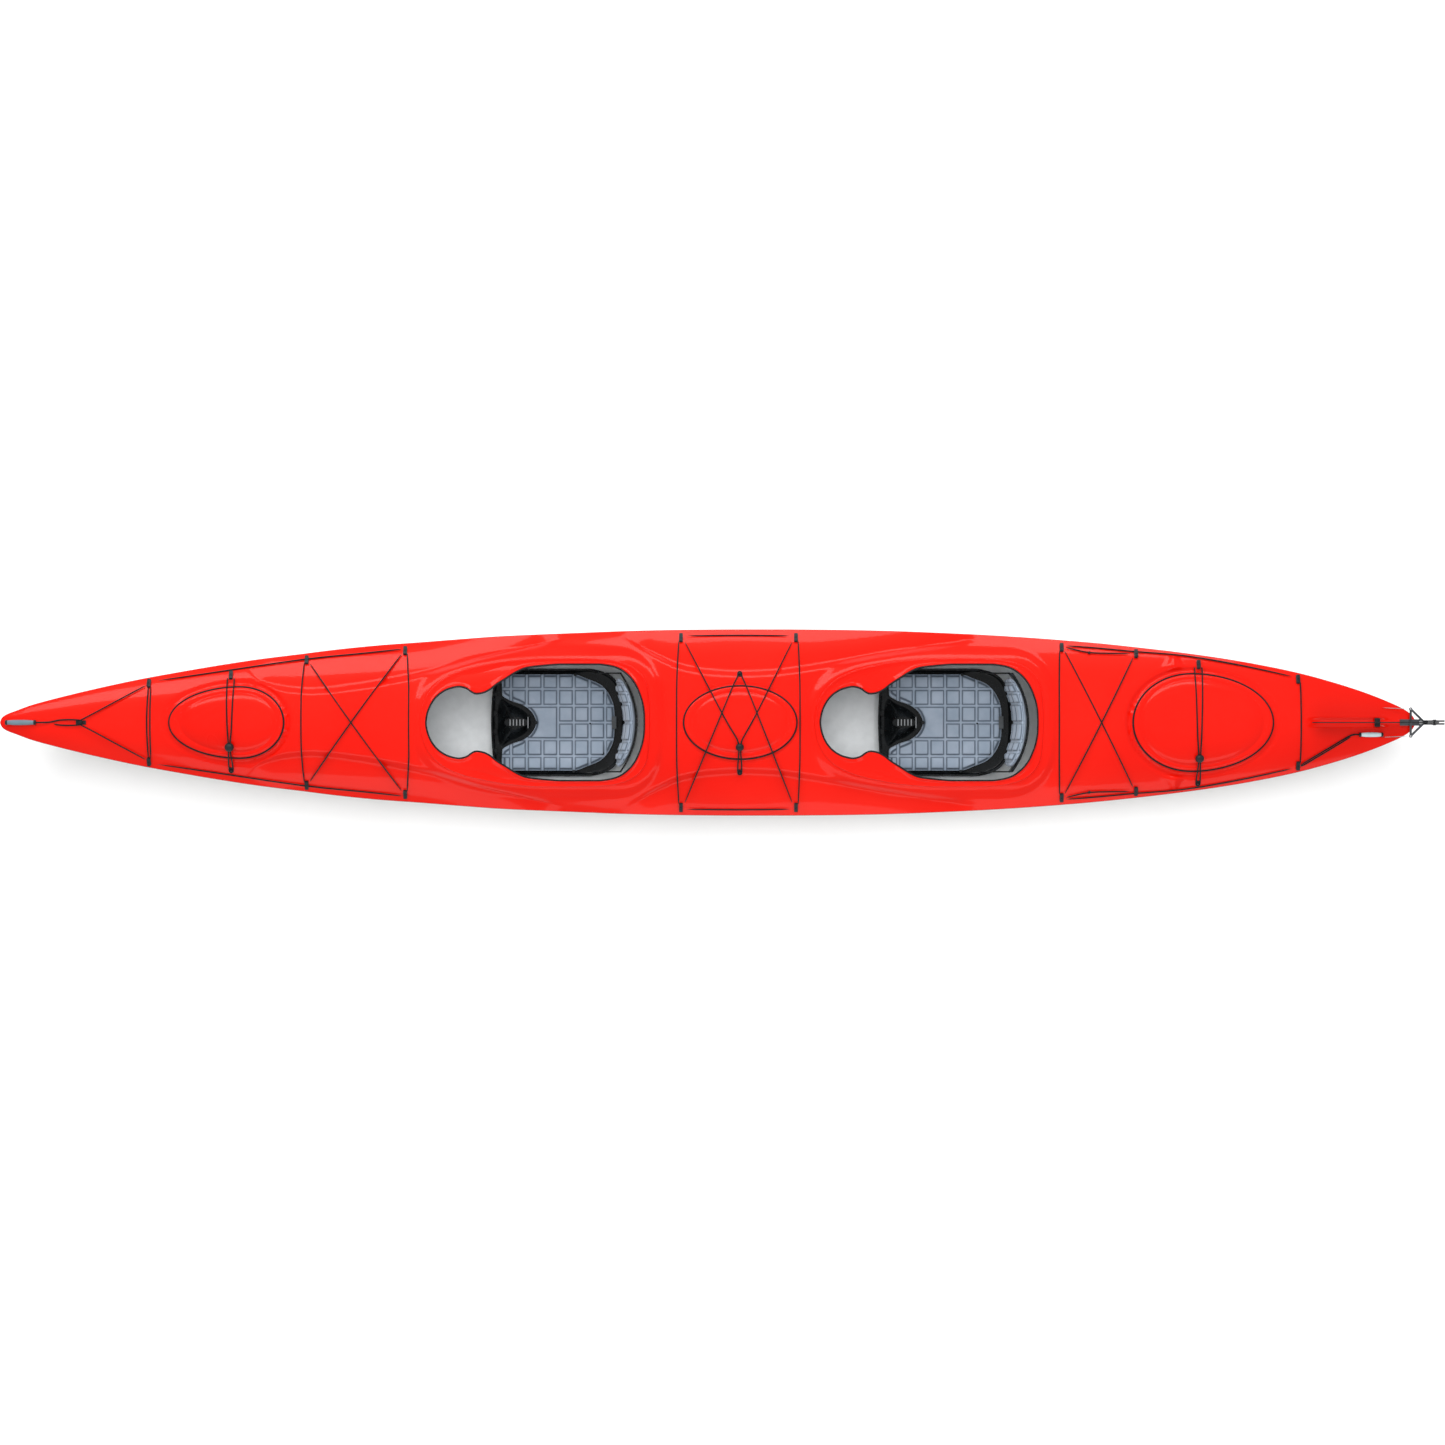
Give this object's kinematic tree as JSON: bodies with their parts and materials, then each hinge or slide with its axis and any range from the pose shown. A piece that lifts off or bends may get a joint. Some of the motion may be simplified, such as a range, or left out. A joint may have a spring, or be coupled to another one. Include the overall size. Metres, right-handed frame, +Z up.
{
  "type": "touring kayak",
  "caption": "Long tandem sea kayak with keyhole cockpits, moulded hatches, deck cords and a flip-up stern rudder.",
  "frame": {"origin": "centre of the bounding box in plan, on the floor plane that the keel flat rests on", "axes": "+X aft towards the rudder, +Y starboard, +Z up"},
  "size_m": [5.436, 0.7056, 0.3945],
  "materials": {
    "hull_white": "gloss",
    "deck_red": "gloss",
    "seam_red": "gloss",
    "rubber_black": "matte",
    "foam_white": "matte",
    "cord_black": "matte",
    "plastic_black": "satin",
    "tub_grey": "matte",
    "toggle_grey": "satin",
    "toggle_pale": "satin",
    "steel": "satin",
    "alloy": "satin",
    "blade_black": "satin",
    "cushion_grey": "matte"
  },
  "bodies": {
    "boat": {"hull_shell": "hull_white", "deck_shell": "deck_red", "seam_strips": "seam_red", "cockpit_trims": "rubber_black", "bow_bulkhead": "foam_white", "mid_bulkhead": "foam_white", "stern_bulkhead": "foam_white", "day_hatch_tub": "tub_grey", "hatch_gaskets": "rubber_black", "deck_clips": "plastic_black", "deck_clip_screws": "steel", "cord_hooks": "plastic_black", "perimeter_lines": "cord_black", "bow_bungee": "cord_black", "fore_bungee": "cord_black", "mid_bungee": "cord_black", "aft_bungee": "cord_black", "cord_stoppers": "plastic_black", "bow_toggle": "toggle_grey", "bow_toggle_cord": "cord_black", "stern_toggle": "toggle_pale", "stern_toggle_cord": "cord_black", "rudder_bracket": "alloy", "rudder_rest": "plastic_black", "rudder_cables": "steel", "cable_tubes": "plastic_black", "seat_rails": "alloy", "foot_rails": "alloy"},
    "bow_lid": {"bow_hatch_lid": "deck_red"},
    "day_lid": {"day_hatch_lid": "deck_red"},
    "stern_lid": {"stern_hatch_lid": "deck_red"},
    "bow_strap": {"bow_hatch_strap": "cord_black", "bow_strap_ball": "plastic_black"},
    "day_strap_stbd": {"day_hatch_strap_starboard": "cord_black", "day_strap_ball": "plastic_black"},
    "day_strap_prt": {"day_hatch_strap_port": "cord_black"},
    "stern_strap": {"stern_hatch_strap": "cord_black", "stern_strap_ball": "plastic_black"},
    "rudder": {"rudder_head": "plastic_black", "rudder_yoke": "alloy", "rudder_yaw_pin": "steel", "blade_pivot_bolt": "steel"},
    "blade": {"rudder_blade": "blade_black"},
    "front_seat": {"front_seat_pan": "plastic_black", "front_seat_cushion": "cushion_grey"},
    "front_backrest": {"front_back_frame": "plastic_black", "front_back_pad": "cushion_grey"},
    "front_lever": {"front_seat_lever": "alloy"},
    "rear_seat": {"rear_seat_pan": "plastic_black", "rear_seat_cushion": "cushion_grey"},
    "rear_backrest": {"rear_back_frame": "plastic_black", "rear_back_pad": "cushion_grey"},
    "rear_lever": {"rear_seat_lever": "alloy"},
    "peg_port": {"front_foot_peg_port": "plastic_black"},
    "carrier_port": {"pedal_carrier_port": "plastic_black"},
    "pedal_port": {"rudder_pedal_port": "plastic_black"},
    "peg_starboard": {"front_foot_peg_starboard": "plastic_black"},
    "carrier_starboard": {"pedal_carrier_starboard": "plastic_black"},
    "pedal_starboard": {"rudder_pedal_starboard": "plastic_black"}
  },
  "joints": [
    {"name": "bow_lid_lift", "type": "slide", "parent": "boat", "child": "bow_lid", "axis": [0, 0, 1], "range_m": [0, 0.1]},
    {"name": "day_lid_lift", "type": "slide", "parent": "boat", "child": "day_lid", "axis": [0, 0, 1], "range_m": [0, 0.1]},
    {"name": "stern_lid_lift", "type": "slide", "parent": "boat", "child": "stern_lid", "axis": [0, 0, 1], "range_m": [0, 0.1]},
    {"name": "bow_strap_swing", "type": "hinge", "parent": "boat", "child": "bow_strap", "pos_m": [-1.852, 0.176, 0.30593], "axis": [1, 0, 0], "range_deg": [-130, 0]},
    {"name": "day_strap_starboard_swing", "type": "hinge", "parent": "boat", "child": "day_strap_stbd", "pos_m": [0.0605, 0.319, 0.25131], "axis": [1, 0, 0], "range_deg": [-85, 0]},
    {"name": "day_strap_port_swing", "type": "hinge", "parent": "boat", "child": "day_strap_prt", "pos_m": [0.0605, -0.319, 0.25131], "axis": [1, 0, 0], "range_deg": [0, 90]},
    {"name": "stern_strap_swing", "type": "hinge", "parent": "boat", "child": "stern_strap", "pos_m": [1.798, 0.217, 0.2611], "axis": [1, 0, 0], "range_deg": [-130, 0]},
    {"name": "rudder_yaw", "type": "hinge", "parent": "boat", "child": "rudder", "pos_m": [2.634, 0, 0.2795], "axis": [0, 0, 1], "range_deg": [-40, 40], "deforming": ["rudder_cables"]},
    {"name": "blade_flip", "type": "hinge", "parent": "rudder", "child": "blade", "pos_m": [2.682, 0, 0.3125], "axis": [0, 1, 0], "range_deg": [0, 250]},
    {"name": "front_seat_slide", "type": "slide", "parent": "boat", "child": "front_seat", "axis": [1, 0, 0], "range_m": [-0.06, 0.06]},
    {"name": "front_backrest_tilt", "type": "hinge", "parent": "front_seat", "child": "front_backrest", "pos_m": [-0.487, 0, 0.0842], "axis": [0, 1, 0], "range_deg": [-6, 10]},
    {"name": "front_lever_lift", "type": "hinge", "parent": "front_seat", "child": "front_lever", "pos_m": [-0.743, 0, 0.09955], "axis": [0, 1, 0], "range_deg": [0, 12], "stiffness_Nm_per_rad": 0.6},
    {"name": "rear_seat_slide", "type": "slide", "parent": "boat", "child": "rear_seat", "axis": [1, 0, 0], "range_m": [-0.06, 0.06]},
    {"name": "rear_backrest_tilt", "type": "hinge", "parent": "rear_seat", "child": "rear_backrest", "pos_m": [0.995, 0, 0.0842], "axis": [0, 1, 0], "range_deg": [-6, 10]},
    {"name": "rear_lever_lift", "type": "hinge", "parent": "rear_seat", "child": "rear_lever", "pos_m": [0.739, 0, 0.09955], "axis": [0, 1, 0], "range_deg": [0, 12], "stiffness_Nm_per_rad": 0.6},
    {"name": "peg_slide_port", "type": "slide", "parent": "boat", "child": "peg_port", "axis": [0.9957, -0.0923, 0], "range_m": [-0.12, 0.12]},
    {"name": "carrier_slide_port", "type": "slide", "parent": "boat", "child": "carrier_port", "axis": [1, -0.0005, 0], "range_m": [-0.12, 0.12]},
    {"name": "pedal_tilt_port", "type": "hinge", "parent": "carrier_port", "child": "pedal_port", "pos_m": [0.142, -0.32564, 0.13], "axis": [0.0005, 1, 0], "range_deg": [-20.5, 20.5]},
    {"name": "peg_slide_starboard", "type": "slide", "parent": "boat", "child": "peg_starboard", "axis": [0.9957, 0.0923, 0], "range_m": [-0.12, 0.12]},
    {"name": "carrier_slide_starboard", "type": "slide", "parent": "boat", "child": "carrier_starboard", "axis": [1, 0.0005, 0], "range_m": [-0.12, 0.12]},
    {"name": "pedal_tilt_starboard", "type": "hinge", "parent": "carrier_starboard", "child": "pedal_starboard", "pos_m": [0.142, 0.32564, 0.13], "axis": [-0.0005, 1, 0], "range_deg": [-20.5, 20.5]}
  ],
  "couplings": [
    {"joint": "bow_strap_swing", "follows": "bow_lid_lift", "rad_per_m": -22},
    {"joint": "day_strap_starboard_swing", "follows": "day_lid_lift", "rad_per_m": -14},
    {"joint": "day_strap_port_swing", "follows": "day_lid_lift", "rad_per_m": 15},
    {"joint": "stern_strap_swing", "follows": "stern_lid_lift", "rad_per_m": -22},
    {"joint": "pedal_tilt_port", "follows": "rudder_yaw", "ratio": 0.5},
    {"joint": "pedal_tilt_starboard", "follows": "rudder_yaw", "ratio": -0.5}
  ]
}
